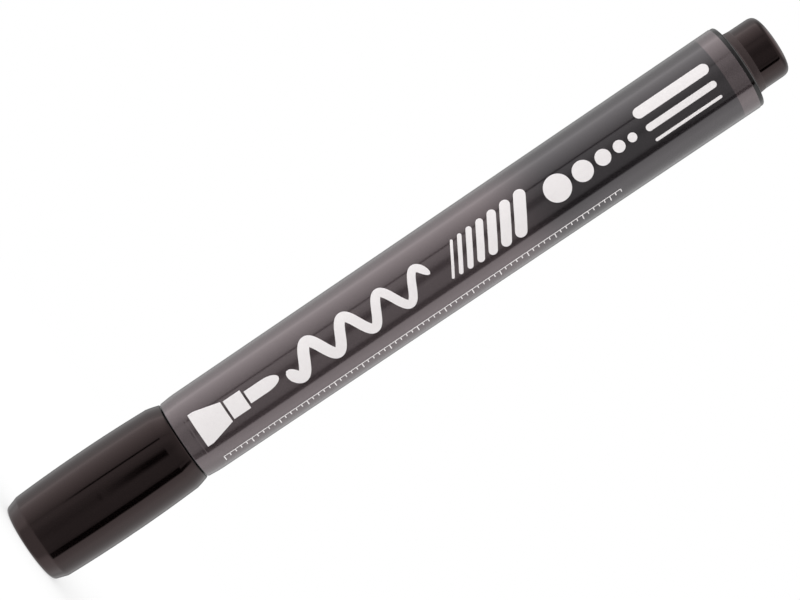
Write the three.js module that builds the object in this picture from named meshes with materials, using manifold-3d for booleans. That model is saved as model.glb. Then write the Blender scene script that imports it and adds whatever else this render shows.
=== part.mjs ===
// A permanent marker, standing on the closed end of its cap.
// Millimetres, +Z up along the axis, origin at the centre of the cap's closed end face.
import * as THREE from 'three';
import * as BufferGeometryUtils from 'three/addons/utils/BufferGeometryUtils.js';
import Module from 'manifold-3d';

const wasm = await Module();
wasm.setup();

// Faces round the axis on every turned piece, so that mating facets lie parallel
const FACETS = 48;
const ARC_STEPS = 4;

// Nib: a round fibre rod with a bullet tip
const NIB_RADIUS = 2.25;
const NIB_EXPOSED = 7.9;
const NIB_TIP_LENGTH = 3.6;
const NIB_TIP_FLAT = 0.3;
const NIB_EMBED = 9.8;
const NIB_TAIL_TAPER = 6;
const NIB_TAIL_RADIUS = 1.3;

// Nib holder: collar, cylinder, cone and flange outside, a plug with a skirt inside the neck
const HOLDER_WALL = 0.95;
const COLLAR_STEP = 0.1;
const COLLAR_LENGTH = 1.9;
const COLLAR_CHAMFER = 0.35;
const CYLINDER_LENGTH = 5.3;
const CONE_LENGTH = 3.9;
const FLANGE_THICKNESS = 0.7;
const FLANGE_INSET = 0.15;
const FLANGE_RISE = 0.15;
const HOLDER_PLUG_LENGTH = 8.2;
const HOLDER_SKIRT_WALL = 0.85;
const HOLDER_BEAD_HEIGHT = 0.14;
const HOLDER_BEAD_SETBACK = 3.2;
const HOLDER_REAR_CHAMFER = 0.4;

// What grips and vents the nib inside the holder
const NIB_LAND_LENGTH = 1.2;
const GRIP_RIB_HEIGHT = 0.46;
const GRIP_RIB_WIDTH = 0.5;
const GRIP_RIB_COUNT = 6;
const VENT_WIDTH = 0.6;
const VENT_DEPTH = 0.4;
const VENT_COUNT = 4;
const SKIRT_NOTCH_WIDTH = 1.4;
const SKIRT_NOTCH_DEPTH = 1.6;
const SKIRT_NOTCH_COUNT = 4;

// Ink reservoir: a fibre rod in a film wrap
const RESERVOIR_RADIUS = 4.6;
const WRAP_THICKNESS = 0.08;

// Barrel: a tapering tube with a stepped neck for the cap
const NECK_LENGTH = 5.76;
const NECK_WALL = 0.95;
const NECK_CHAMFER = 0.3;
const SHOULDER_STEP = 0.8;
const FRONT_CONE_LENGTH = 2.12;
const FRONT_CONE_RISE = 0.19;
const BARREL_LENGTH = 101.82;
const BARREL_TAPER = 0.34;
const BARREL_TAIL_ROUND = 0.95;
const BORE_AIR_GAP = 0.3;
const BORE_DRAFT = 0.1;
const BORE_RIB_WIDTH = 0.8;
const BORE_RIB_COUNT = 4;
const TAIL_BORE_STEP = 0.15;
const TAIL_BORE_CHAMFER = 0.2;

// Printed film round the barrel
const LABEL_THICKNESS = 0.07;
const LABEL_FRONT_MARGIN = 0.1;
const LABEL_TAIL_MARGIN = 1.1;

// Tail plug: a hollow stopper with sealing beads and a cross that holds the reservoir
const PLUG_PROJECTION = 6.1;
const PLUG_TAPER = 0.04;
const PLUG_END_ROUND = 1;
const PLUG_END_WALL = 1.3;
const PLUG_INSERTION = 8.5;
const PLUG_LAND = 1;
const PLUG_RELIEF = 0.15;
const PLUG_SKIRT_WALL = 0.95;
const PLUG_BEAD_COUNT = 2;
const PLUG_BEAD_HALF_WIDTH = 0.45;
const PLUG_RIM_CHAMFER = 0.35;
const PLUG_CROSS_THICKNESS = 0.9;
const PLUG_CROSS_REACH = 3;

// Cap: a crowned shell with a coned end, a bevelled mouth and a liner that seals the nib
const CAP_END_WALL = 1.25;
const CAP_END_ROUND = 0.42;
const CAP_END_INSET = 0.65;
const CAP_END_CONE_LENGTH = 2.35;
const CAP_CROWN_RISE = 0.285;
const CAP_CROWN_FALL = 0.03;
const CAP_BEVEL_LENGTH = 2.15;
const CAP_BEVEL_RISE = 0.58;
const CAP_BEVEL_BULGE = 0.04;
const CAP_MOUTH_INSET = 0.02;
const CAP_MOUTH_CHAMFER = 0.22;
const CAP_GUIDE_LENGTH = 6.6;
const CAP_GUIDE_STEP = 0.35;
const CAP_FLOOR_ROUND = 0.6;
const NECK_BEAD_HEIGHT = 0.17;
const NECK_BEAD_HALF_WIDTH = 0.6;
const NECK_BEAD_SETBACK = 3.5;
const CAP_GROOVE_DEPTH = 0.12;
const CAP_LEDGE_WIDTH = 0.2;

// Cap liner: a thin cup hung from a flange, with a lip that closes on the holder's cylinder
const LINER_WALL = 0.7;
const LINER_FLOOR = 0.68;
const LINER_NIB_GAP = 0.75;
const LINER_TIP_GAP = 0.65;
const LINER_CHEST_GAP = 0.25;
const LINER_CHEST_DEPTH = 2.2;
const LINER_FLANGE_THICKNESS = 0.8;
const LINER_FLANGE_GRIP = 0.1;
const LINER_LIP_ENGAGEMENT = 1.5;
const LINER_LIP_FLARE = 0.35;
const LINER_LIP_LENGTH = 0.6;

// Clearances
const NIB_FIT = 0.04;
const SOCKET_FIT = 0.05;
const PRESS_FIT = 0.03;
const BEAD_FIT = 0.05;
const FILM_FIT = 0.01;
const SEAT_GAP = 0.02;
const STACK_GAP = 0.3;
const SLIDE_FIT = 0.06;
const SEAL_FIT = 0.04;
const MOUTH_GAP = 0.18;

// Radii, worked out from the nib and the reservoir outwards
const reliefBore = NIB_RADIUS + NIB_FIT + GRIP_RIB_HEIGHT;
const cylinderRadius = reliefBore + HOLDER_WALL;
const collarRadius = cylinderRadius - COLLAR_STEP;
const wrapRadius = RESERVOIR_RADIUS + FILM_FIT + WRAP_THICKNESS;
const neckBore = wrapRadius + SOCKET_FIT;
const holderPlugRadius = neckBore - PRESS_FIT;
const skirtBore = holderPlugRadius - HOLDER_SKIRT_WALL;
const neckRadius = neckBore + NECK_WALL;
const neckBeadRadius = neckRadius + NECK_BEAD_HEIGHT;
const flangeRadius = neckRadius - FLANGE_INSET;
const shoulderRadius = neckRadius + SHOULDER_STEP;
const creaseRadius = shoulderRadius + FRONT_CONE_RISE;
const tailRadius = creaseRadius + BARREL_TAPER;
const mainBore = wrapRadius + BORE_AIR_GAP;
const tailBore = mainBore + BORE_DRAFT + TAIL_BORE_STEP;
const plugRadius = tailBore - PRESS_FIT;
const capBore = neckBeadRadius + SLIDE_FIT;
const linerSeatBore = capBore - CAP_GUIDE_STEP;
const capMouthRadius = shoulderRadius + FILM_FIT + LABEL_THICKNESS - CAP_MOUTH_INSET;
const capBevelRadius = capMouthRadius + CAP_BEVEL_RISE;
const capShoulderRadius = capBevelRadius + CAP_CROWN_FALL;
const capEndRadius = capShoulderRadius - CAP_END_INSET;

// Heights on the marker, from the barrel's shoulder: the nose points down and is negative
const neckFront = -NECK_LENGTH;
const flangeBack = neckFront - SEAT_GAP;
const coneBase = flangeBack - FLANGE_THICKNESS;
const cylinderBack = coneBase - CONE_LENGTH;
const collarBack = cylinderBack - CYLINDER_LENGTH;
const collarFront = collarBack - COLLAR_LENGTH;
const nibTip = collarFront - NIB_EXPOSED;
const holderRear = flangeBack + HOLDER_PLUG_LENGTH;
const holderBead = flangeBack + HOLDER_BEAD_SETBACK;
const neckBead = -NECK_BEAD_SETBACK;
const reservoirFront = holderRear + STACK_GAP;
const plugFront = BARREL_LENGTH - PLUG_INSERTION;
const crossFront = plugFront - PLUG_CROSS_REACH;
const reservoirRear = crossFront - STACK_GAP;
const nibRear = reservoirFront + NIB_EMBED;

// Heights on the cap, from its closed end: its length follows the nose that it covers
const linerBottom = CAP_END_WALL + SEAT_GAP;
const linerFloorTop = linerBottom + LINER_FLOOR;
const shoulderHeight = linerFloorTop + LINER_TIP_GAP - nibTip;
const capLength = shoulderHeight - MOUTH_GAP;
const collarFrontHeight = shoulderHeight + collarFront;
const linerTop = shoulderHeight + collarBack + LINER_LIP_ENGAGEMENT;
const linerFlangeBottom = linerTop - LINER_FLANGE_THICKNESS;
const capGrooveHeight = shoulderHeight + neckBead;

const plastic = (color, roughness) => new THREE.MeshStandardMaterial({ color, roughness, metalness: 0 });
const blackGloss = plastic(0x1b1718, 0.22);
const blackBarrel = plastic(0x181616, 0.3);
const naturalLiner = plastic(0xd8d6cf, 0.45);
const stainedFibre = plastic(0x17161a, 0.9);
const inkedCore = plastic(0x1d1c22, 0.95);
const clearWrap = plastic(0xc9ccd0, 0.3);
const greyFilm = new THREE.MeshStandardMaterial({ color: 0x6f6568, roughness: 0.4, metalness: 0.35 });

// Points on a circular arc in the half-section, with angles in degrees from the outward direction.
function arc(centreRadius, centreHeight, radius, from, to) {
  const points = [];
  for (let i = 0; i <= ARC_STEPS; i++) {
    const angle = THREE.MathUtils.degToRad(from + ((to - from) * i) / ARC_STEPS);
    points.push([centreRadius + radius * Math.cos(angle), centreHeight + radius * Math.sin(angle)]);
  }
  return points;
}

// Points on a parabolic bow between two ends, which swells outwards by the given rise at its middle.
function bow(start, end, rise, steps) {
  const points = [];
  for (let i = 0; i <= steps; i++) {
    const t = i / steps;
    const swell = 4 * rise * t * (1 - t);
    points.push([
      THREE.MathUtils.lerp(start[0], end[0], t) + swell,
      THREE.MathUtils.lerp(start[1], end[1], t),
    ]);
  }
  return points;
}

// A round-backed bead or groove on a wall of the given radius, listed upwards.
function bead(wallRadius, height, halfWidth, rise) {
  const crest = halfWidth / 3;
  return [
    [wallRadius, height - halfWidth],
    [wallRadius + rise, height - crest],
    [wallRadius + rise, height + crest],
    [wallRadius, height + halfWidth],
  ];
}

// Turns a closed half-section of [radius, height] points about the axis. The section runs
// anticlockwise: up the outside and down the inside.
function revolve(section) {
  const profile = section.map(([radius, height]) => new THREE.Vector2(radius, height));
  const axisToAxis = section[0][0] === 0 && section.at(-1)[0] === 0;
  if (!axisToAxis) profile.push(profile[0].clone());
  const geometry = new THREE.LatheGeometry(profile, FACETS);
  geometry.rotateX(Math.PI / 2);
  return geometry;
}

// A three.js geometry as a solid that can be joined and cut.
function toSolid(source) {
  const bare = source.clone();
  bare.deleteAttribute('normal');
  bare.deleteAttribute('uv');
  const merged = BufferGeometryUtils.mergeVertices(bare);
  const corners = merged.index.array;
  const kept = [];
  for (let i = 0; i < corners.length; i += 3) {
    const [a, b, c] = [corners[i], corners[i + 1], corners[i + 2]];
    if (a !== b && b !== c && c !== a) kept.push(a, b, c);
  }
  return new wasm.Manifold(new wasm.Mesh({
    numProp: 3,
    vertProperties: new Float32Array(merged.attributes.position.array),
    triVerts: new Uint32Array(kept),
  }));
}

function toGeometry(solid) {
  const mesh = solid.getMesh();
  const geometry = new THREE.BufferGeometry();
  geometry.setAttribute('position', new THREE.BufferAttribute(mesh.vertProperties, 3));
  geometry.setIndex(new THREE.BufferAttribute(mesh.triVerts, 1));
  geometry.computeVertexNormals();
  return geometry;
}

// Equal bars standing round the axis, each between two radii and two heights.
function barRing(count, width, innerRadius, outerRadius, bottom, top, turn = 0) {
  return Array.from({ length: count }, (_, i) => {
    const bar = new THREE.BoxGeometry(outerRadius - innerRadius, width, top - bottom);
    bar.translate((innerRadius + outerRadius) / 2, 0, (bottom + top) / 2);
    bar.rotateZ(turn + (2 * Math.PI * i) / count);
    return toSolid(bar);
  });
}

const join = (body, pieces) => pieces.reduce((sum, piece) => sum.add(piece), body);
const cut = (body, pieces) => pieces.reduce((rest, piece) => rest.subtract(piece), body);

// The cap's outer shell: flat closed end, coned end, crowned body and bevelled mouth. Inside are
// the guide bore with its snap groove and the ledge and groove that hold the liner.
function capShell() {
  const bevelBottom = capLength - CAP_BEVEL_LENGTH;
  const guideBottom = capLength - CAP_GUIDE_LENGTH;
  const ledgeBore = linerSeatBore - CAP_LEDGE_WIDTH;
  const ledgeTop = linerFlangeBottom - SEAT_GAP;
  const linerGrooveTop = linerTop + SEAT_GAP;
  const linerGroove = linerSeatBore + LINER_FLANGE_GRIP + PRESS_FIT;
  return revolve([
    [0, 0],
    ...arc(capEndRadius - CAP_END_ROUND, CAP_END_ROUND, CAP_END_ROUND, -90, -18),
    ...bow([capShoulderRadius, CAP_END_CONE_LENGTH], [capBevelRadius, bevelBottom], CAP_CROWN_RISE, 10),
    ...bow([capBevelRadius, bevelBottom], [capMouthRadius, capLength], CAP_BEVEL_BULGE, 3).slice(1),
    [capBore + CAP_MOUTH_CHAMFER, capLength],
    [capBore, capLength - CAP_MOUTH_CHAMFER],
    ...bead(capBore, capGrooveHeight, NECK_BEAD_HALF_WIDTH + BEAD_FIT, CAP_GROOVE_DEPTH).reverse(),
    [capBore, guideBottom],
    [linerSeatBore, guideBottom - CAP_GUIDE_STEP],
    [linerSeatBore, linerGrooveTop],
    [linerGroove, linerGrooveTop],
    [linerGroove, ledgeTop],
    [ledgeBore, ledgeTop],
    ...arc(ledgeBore - CAP_FLOOR_ROUND, CAP_END_WALL + CAP_FLOOR_ROUND, CAP_FLOOR_ROUND, 0, -90),
    [0, CAP_END_WALL],
  ]);
}

// The liner inside the cap: a narrow cup round the nib that widens to a chest for the collar and
// closes in a lip on the holder's cylinder. Its flange snaps into the cap above the ledge.
function capLiner() {
  const cupRadius = NIB_RADIUS + LINER_NIB_GAP;
  const chestRadius = cylinderRadius + LINER_CHEST_GAP;
  const lipRadius = cylinderRadius + SEAL_FIT;
  const chestBottom = collarFrontHeight - LINER_CHEST_GAP;
  const cupTop = chestBottom - (chestRadius - cupRadius);
  const lipHeight = linerTop - LINER_LIP_LENGTH;
  const chestTop = Math.min(chestBottom + LINER_CHEST_DEPTH, lipHeight - LINER_LIP_FLARE);
  return revolve([
    [0, linerBottom],
    [cupRadius + LINER_WALL, linerBottom],
    [cupRadius + LINER_WALL, cupTop],
    [chestRadius + LINER_WALL, chestBottom],
    [chestRadius + LINER_WALL, linerFlangeBottom],
    [linerSeatBore + LINER_FLANGE_GRIP, linerFlangeBottom],
    [linerSeatBore + LINER_FLANGE_GRIP, linerTop],
    [lipRadius + LINER_LIP_FLARE, linerTop],
    [lipRadius, lipHeight],
    [chestRadius, chestTop],
    [chestRadius, chestBottom],
    [cupRadius, cupTop],
    [cupRadius, linerFloorTop],
    [0, linerFloorTop],
  ]);
}

// The barrel: neck with its snap bead, square shoulder, short front cone, long taper and rounded
// tail. The bore holds the nib holder, the ribbed reservoir chamber and the tail plug.
function barrel() {
  const boreFront = reservoirFront;
  const boreRear = plugFront - STACK_GAP;
  const tube = toSolid(revolve([
    [neckBore + NECK_CHAMFER, neckFront],
    [neckRadius - NECK_CHAMFER, neckFront],
    [neckRadius, neckFront + NECK_CHAMFER],
    ...bead(neckRadius, neckBead, NECK_BEAD_HALF_WIDTH, NECK_BEAD_HEIGHT),
    [neckRadius, 0],
    [shoulderRadius, 0],
    [creaseRadius, FRONT_CONE_LENGTH],
    ...arc(tailRadius - BARREL_TAIL_ROUND, BARREL_LENGTH - BARREL_TAIL_ROUND, BARREL_TAIL_ROUND, 0, 90),
    [tailBore + TAIL_BORE_CHAMFER, BARREL_LENGTH],
    [tailBore, BARREL_LENGTH - TAIL_BORE_CHAMFER],
    [tailBore, boreRear],
    [mainBore + BORE_DRAFT, boreRear],
    [mainBore, boreFront + BORE_AIR_GAP],
    [neckBore, boreFront],
    ...bead(neckBore, holderBead, 2 * HOLDER_BEAD_HEIGHT + BEAD_FIT, HOLDER_BEAD_HEIGHT + BEAD_FIT).reverse(),
    [neckBore, neckFront + NECK_CHAMFER],
  ]));
  const ribRoot = mainBore + BORE_DRAFT + BORE_AIR_GAP;
  const ribFront = boreFront + BORE_AIR_GAP;
  const ribRear = boreRear - BORE_AIR_GAP;
  const ribs = barRing(BORE_RIB_COUNT, BORE_RIB_WIDTH, neckBore, ribRoot, ribFront, ribRear, Math.PI / 4);
  return toGeometry(join(tube, ribs));
}

// The printed film, which follows the barrel's front cone and taper.
function labelFilm() {
  const front = LABEL_FRONT_MARGIN;
  const rear = BARREL_LENGTH - LABEL_TAIL_MARGIN;
  const taperLength = BARREL_LENGTH - BARREL_TAIL_ROUND - FRONT_CONE_LENGTH;
  const barrelRadiusAt = (height) => (height < FRONT_CONE_LENGTH
    ? shoulderRadius + (FRONT_CONE_RISE * height) / FRONT_CONE_LENGTH
    : creaseRadius + (BARREL_TAPER * (height - FRONT_CONE_LENGTH)) / taperLength);
  const heights = [front, FRONT_CONE_LENGTH, rear];
  const skin = (offset) => heights.map((height) => [barrelRadiusAt(height) + offset, height]);
  return revolve([...skin(FILM_FIT + LABEL_THICKNESS), ...skin(FILM_FIT).reverse()]);
}

// The nib holder. A land with air grooves guides the nib, six ribs grip it in a wider bore, and
// the notched skirt behind snaps into the neck.
function nibHolder() {
  const landRadius = NIB_RADIUS + NIB_FIT;
  const landBack = collarFront + NIB_LAND_LENGTH;
  const coneTop = flangeRadius - FLANGE_RISE;
  const body = toSolid(revolve([
    [landRadius, collarFront],
    [collarRadius - COLLAR_CHAMFER, collarFront],
    [collarRadius, collarFront + COLLAR_CHAMFER],
    [collarRadius, collarBack],
    [cylinderRadius, collarBack + COLLAR_STEP],
    [cylinderRadius, cylinderBack],
    [coneTop, coneBase],
    [flangeRadius, coneBase],
    [flangeRadius, flangeBack],
    [holderPlugRadius, flangeBack],
    ...bead(holderPlugRadius, holderBead, 2 * HOLDER_BEAD_HEIGHT, HOLDER_BEAD_HEIGHT),
    [holderPlugRadius, holderRear - HOLDER_REAR_CHAMFER],
    [holderPlugRadius - HOLDER_REAR_CHAMFER, holderRear],
    [skirtBore, holderRear],
    [skirtBore, coneBase],
    [reliefBore, coneBase - (skirtBore - reliefBore)],
    [reliefBore, landBack],
    [landRadius, landBack],
  ]));
  const ribRoot = reliefBore + HOLDER_WALL / 3;
  const ribRear = cylinderBack + HOLDER_WALL;
  const ribs = barRing(GRIP_RIB_COUNT, GRIP_RIB_WIDTH, landRadius, ribRoot, landBack - NIB_FIT, ribRear);
  const vents = barRing(
    VENT_COUNT, VENT_WIDTH, landRadius - VENT_DEPTH, landRadius + VENT_DEPTH,
    collarFront - COLLAR_CHAMFER, landBack + NIB_FIT, Math.PI / 2 / GRIP_RIB_COUNT,
  );
  const notches = barRing(
    SKIRT_NOTCH_COUNT, SKIRT_NOTCH_WIDTH, skirtBore - HOLDER_SKIRT_WALL, neckBore,
    holderRear - SKIRT_NOTCH_DEPTH, holderRear + STACK_GAP,
  );
  return toGeometry(cut(join(body, ribs), [...vents, ...notches]));
}

// The nib: a bullet tip, a straight rod through the holder and a taper into the reservoir.
function nib() {
  const tipBase = nibTip + NIB_TIP_LENGTH;
  const tip = [];
  for (let i = 0; i <= 2 * ARC_STEPS; i++) {
    const start = Math.acos(NIB_TIP_FLAT / NIB_RADIUS);
    const angle = start * (1 - i / (2 * ARC_STEPS));
    tip.push([NIB_RADIUS * Math.cos(angle), tipBase - (NIB_TIP_LENGTH * Math.sin(angle)) / Math.sin(start)]);
  }
  return revolve([
    [0, nibTip],
    ...tip,
    [NIB_RADIUS, nibRear - NIB_TAIL_TAPER],
    [NIB_TAIL_RADIUS, nibRear],
    [0, nibRear],
  ]);
}

// The fibre reservoir, with a pocket in its front end that the nib fills.
function reservoirCore() {
  const pocketTaper = nibRear - NIB_TAIL_TAPER;
  return revolve([
    [NIB_RADIUS + SOCKET_FIT, reservoirFront],
    [RESERVOIR_RADIUS, reservoirFront],
    [RESERVOIR_RADIUS, reservoirRear],
    [0, reservoirRear],
    [0, nibRear + SOCKET_FIT],
    [NIB_TAIL_RADIUS + SOCKET_FIT, nibRear + SOCKET_FIT],
    [NIB_RADIUS + SOCKET_FIT, pocketTaper],
  ]);
}

// The film wrapped round the reservoir, open at both ends.
function reservoirWrap() {
  const inner = RESERVOIR_RADIUS + FILM_FIT;
  return revolve([
    [inner, reservoirFront],
    [wrapRadius, reservoirFront],
    [wrapRadius, reservoirRear],
    [inner, reservoirRear],
  ]);
}

// The tail plug: a rounded end that stands out of the barrel, a skirt with sealing beads, and a
// cross in its hollow that reaches the reservoir.
function tailPlug() {
  const end = BARREL_LENGTH + PLUG_PROJECTION;
  const endRadius = plugRadius - PLUG_TAPER;
  const skirtRadius = plugRadius - PLUG_RELIEF;
  const hollowRadius = skirtRadius - PLUG_SKIRT_WALL;
  const hollowTop = end - PLUG_END_WALL;
  const landBottom = BARREL_LENGTH - PLUG_LAND;
  const beadSpacing = (landBottom - plugFront) / (PLUG_BEAD_COUNT + 1);
  const beads = [];
  for (let i = 1; i <= PLUG_BEAD_COUNT; i++) {
    beads.push(...bead(skirtRadius, plugFront + i * beadSpacing, PLUG_BEAD_HALF_WIDTH, PLUG_RELIEF));
  }
  const shell = toSolid(revolve([
    [hollowRadius, plugFront],
    [skirtRadius - PLUG_RIM_CHAMFER, plugFront],
    [skirtRadius, plugFront + PLUG_RIM_CHAMFER],
    ...beads,
    [skirtRadius, landBottom - PLUG_RELIEF],
    [plugRadius, landBottom],
    [plugRadius, BARREL_LENGTH],
    ...arc(endRadius - PLUG_END_ROUND, end - PLUG_END_ROUND, PLUG_END_ROUND, 0, 90),
    [0, end],
    [0, hollowTop],
    [hollowRadius, hollowTop],
  ]));
  const finRoot = hollowRadius + PLUG_SKIRT_WALL / 3;
  const fin = new THREE.BoxGeometry(
    2 * finRoot, PLUG_CROSS_THICKNESS, hollowTop + PLUG_END_WALL / 3 - crossFront,
  );
  fin.translate(0, 0, (hollowTop + PLUG_END_WALL / 3 + crossFront) / 2);
  const crossFin = fin.clone().rotateZ(Math.PI / 2);
  return toGeometry(join(shell, [toSolid(fin), toSolid(crossFin)]));
}

function piece(name, geometry, material) {
  const mesh = new THREE.Mesh(geometry, material);
  mesh.name = name;
  return mesh;
}

const cap = new THREE.Group();
cap.add(
  piece('cap_shell', capShell(), blackGloss),
  piece('cap_liner', capLiner(), naturalLiner),
);

const marker = new THREE.Group();
marker.position.z = shoulderHeight;
marker.add(
  piece('barrel', barrel(), blackBarrel),
  piece('label_film', labelFilm(), greyFilm),
  piece('nib_holder', nibHolder(), blackBarrel),
  piece('nib', nib(), stainedFibre),
  piece('reservoir_core', reservoirCore(), inkedCore),
  piece('reservoir_wrap', reservoirWrap(), clearWrap),
  piece('tail_plug', tailPlug(), blackGloss),
);

const assembly = new THREE.Group();
assembly.add(cap, marker);

export default assembly;
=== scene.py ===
# %% [markdown]
# # A capped permanent marker
# The marker stands on the closed end of its cap, with its axis along +Z. Almost every piece of a
# marker is turned: it looks the same all the way round its axis. So this lesson makes nearly
# everything from one idea, a half-section carried round the axis, and spends its care on the
# small radii at the edges and on the finishes, because that is where moulded plastic looks real.

import math

import bpy
import numpy as np
from mathutils import Matrix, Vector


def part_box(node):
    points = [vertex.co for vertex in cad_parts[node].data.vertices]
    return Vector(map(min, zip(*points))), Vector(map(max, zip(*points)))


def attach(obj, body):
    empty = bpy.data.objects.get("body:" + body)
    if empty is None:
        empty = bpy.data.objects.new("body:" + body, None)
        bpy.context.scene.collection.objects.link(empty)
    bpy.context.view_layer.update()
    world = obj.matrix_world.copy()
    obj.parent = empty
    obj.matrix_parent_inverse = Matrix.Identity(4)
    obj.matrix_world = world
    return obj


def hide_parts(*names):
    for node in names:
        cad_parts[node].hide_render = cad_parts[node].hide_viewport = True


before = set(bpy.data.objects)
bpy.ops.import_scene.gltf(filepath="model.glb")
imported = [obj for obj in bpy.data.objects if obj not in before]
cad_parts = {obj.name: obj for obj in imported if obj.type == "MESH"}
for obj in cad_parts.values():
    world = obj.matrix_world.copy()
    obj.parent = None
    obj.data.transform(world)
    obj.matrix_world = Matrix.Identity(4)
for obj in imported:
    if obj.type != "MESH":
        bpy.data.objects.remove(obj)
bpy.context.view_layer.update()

MM = 0.001
SEGMENTS = 240

# %% [markdown]
# Every height could be typed in again, but then two models of one marker would drift apart. So it
# is read from the packed model, and a piece made here starts and ends where the solid that it
# stands for does. The values are in millimetres and become metres only when a mesh is made.

# %% Heights and radii from the frame
def low(node):
    """The lowest height of a node, in millimetres."""
    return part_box(node)[0][2] / MM


def high(node):
    """The highest height of a node, in millimetres."""
    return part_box(node)[1][2] / MM


def radius(node):
    """The largest radius of a node, in millimetres."""
    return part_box(node)[1][0] / MM


CAP_TOP = high("cap_shell")
NIB_TIP = low("nib")
COLLAR_FRONT = low("nib_holder")
HOLDER_REAR = high("nib_holder")
NECK_FRONT = low("barrel")
BARREL_END = high("barrel")
FILM_FRONT = low("label_film")
FILM_REAR = high("label_film")
PLUG_FRONT = low("tail_plug")
PLUG_END = high("tail_plug")
MOUTH_GAP = 0.18
SHOULDER = CAP_TOP + MOUTH_GAP
SNAP_HEIGHT = SHOULDER - 3.5

print(f"cap to {CAP_TOP:.2f}, film {FILM_FRONT:.2f} to {FILM_REAR:.2f}, end {PLUG_END:.2f} mm")

# %% [markdown]
# A mesh is a list of points and a list of faces. It could be built point by point with bmesh.
# Here both lists are worked out as whole numpy arrays and handed to Blender in one go, which is
# quick and leaves no stray points behind. Shading is smooth, except across edges that turn more
# than a set angle.

# %% Meshes from arrays
SHARP_ANGLE = math.radians(28)


def placed(name, data):
    """A new object for a mesh, a lamp or a camera, linked into the scene."""
    thing = bpy.data.objects.new(name, data)
    bpy.context.scene.collection.objects.link(thing)
    return thing


def mesh_piece(name, points, faces, body, slot, material):
    """A piece from points in millimetres and a list of face arrays, each with its own corner count."""
    mesh = bpy.data.meshes.new(name)
    corners = np.concatenate([block.ravel() for block in faces]).astype(np.int32)
    totals = np.concatenate([np.full(len(block), block.shape[1]) for block in faces])
    starts = np.concatenate([[0], np.cumsum(totals)[:-1]]).astype(np.int32)
    mesh.vertices.add(len(points))
    mesh.vertices.foreach_set("co", (np.asarray(points) * MM).astype(np.float32).ravel())
    mesh.loops.add(len(corners))
    mesh.loops.foreach_set("vertex_index", corners)
    mesh.polygons.add(len(totals))
    mesh.polygons.foreach_set("loop_start", starts)
    mesh.update(calc_edges=True)
    mesh.validate()
    mesh.polygons.foreach_set("use_smooth", np.ones(len(totals), dtype=bool))
    mesh.set_sharp_from_angle(angle=SHARP_ANGLE)
    piece = placed(name, mesh)
    piece.data.materials.append(material)
    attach(piece, body)
    print(f"{name}: {len(points)} points, {len(totals)} faces")
    return piece


def grid_faces(rows, columns, wrap_rows, wrap_columns):
    """Quads between neighbouring points of a grid. A wrapped direction joins its end to its start."""
    row = np.arange(rows if wrap_rows else rows - 1)
    column = np.arange(columns if wrap_columns else columns - 1)
    i, j = np.meshgrid(row, column, indexing="ij")
    up, across = (i + 1) % rows, (j + 1) % columns
    corners = [i * columns + j, i * columns + across, up * columns + across, up * columns + j]
    return np.stack(corners, axis=-1).reshape(-1, 4)


print(f"edges that turn more than {math.degrees(SHARP_ANGLE):.0f} degrees stay sharp")


# %% [markdown]
# A half-section is a short list of corners: radius, height, and how far the corner is rounded. A
# Screw modifier with a Bevel modifier after it would do the same job, but one bevel width suits
# only some of the edges. Rounded in the section, each corner becomes a quadratic curve with its
# own reach, so an edge catches the light in a thin line, as a moulded edge does.

# %% Half-sections with rounded corners
def rounded(corners, closed, steps=5):
    """Each corner P with neighbours A and B becomes the curve (1-t)^2 S + 2t(1-t) P + t^2 E, where S and E
    lie on its two sides at the corner's rounding distance, held to 0.45 of the shorter side."""
    table = np.array(corners, dtype=float)
    place, size = table[:, :2], table[:, 2]
    before, after = np.roll(place, 1, axis=0), np.roll(place, -1, axis=0)
    to_before, to_after = before - place, after - place
    length_before = np.linalg.norm(to_before, axis=1)
    length_after = np.linalg.norm(to_after, axis=1)
    reach = np.minimum(size, 0.45 * np.minimum(length_before, length_after))
    if not closed:
        reach[[0, -1]] = 0
    start = place + to_before * (reach / length_before)[:, None]
    end = place + to_after * (reach / length_after)[:, None]
    t = np.linspace(0, 1, steps)[None, :, None]
    curve = (1 - t) ** 2 * start[:, None] + 2 * t * (1 - t) * place[:, None] + t**2 * end[:, None]
    keep = np.ones((len(place), steps), dtype=bool)
    keep[reach < 1e-6, 1:] = False
    return curve[keep]


def supported(section, long=0.6, inset=0.05):
    """Every side longer than long gets a point at inset from each of its ends, so that smooth shading
    bends only in the rounded corners and the sides stay straight."""
    start, end = section[:-1], section[1:]
    length = np.linalg.norm(end - start, axis=1)
    step = (end - start) * (inset / np.maximum(length, inset))[:, None]
    triple = np.stack([start, start + step, end - step], axis=1)
    keep = np.ones(triple.shape[:2], dtype=bool)
    keep[length < long, 1:] = False
    return np.vstack([triple[keep], section[-1:]])


def bead(wall, height, half_width, rise, size):
    """Four corners of a round-backed bead on a wall, listed upwards, with a crest a third as wide."""
    crest = half_width / 3
    return [
        (wall, height - half_width, size),
        (wall + rise, height - crest, size),
        (wall + rise, height + crest, size),
        (wall, height + half_width, size),
    ]


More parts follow.
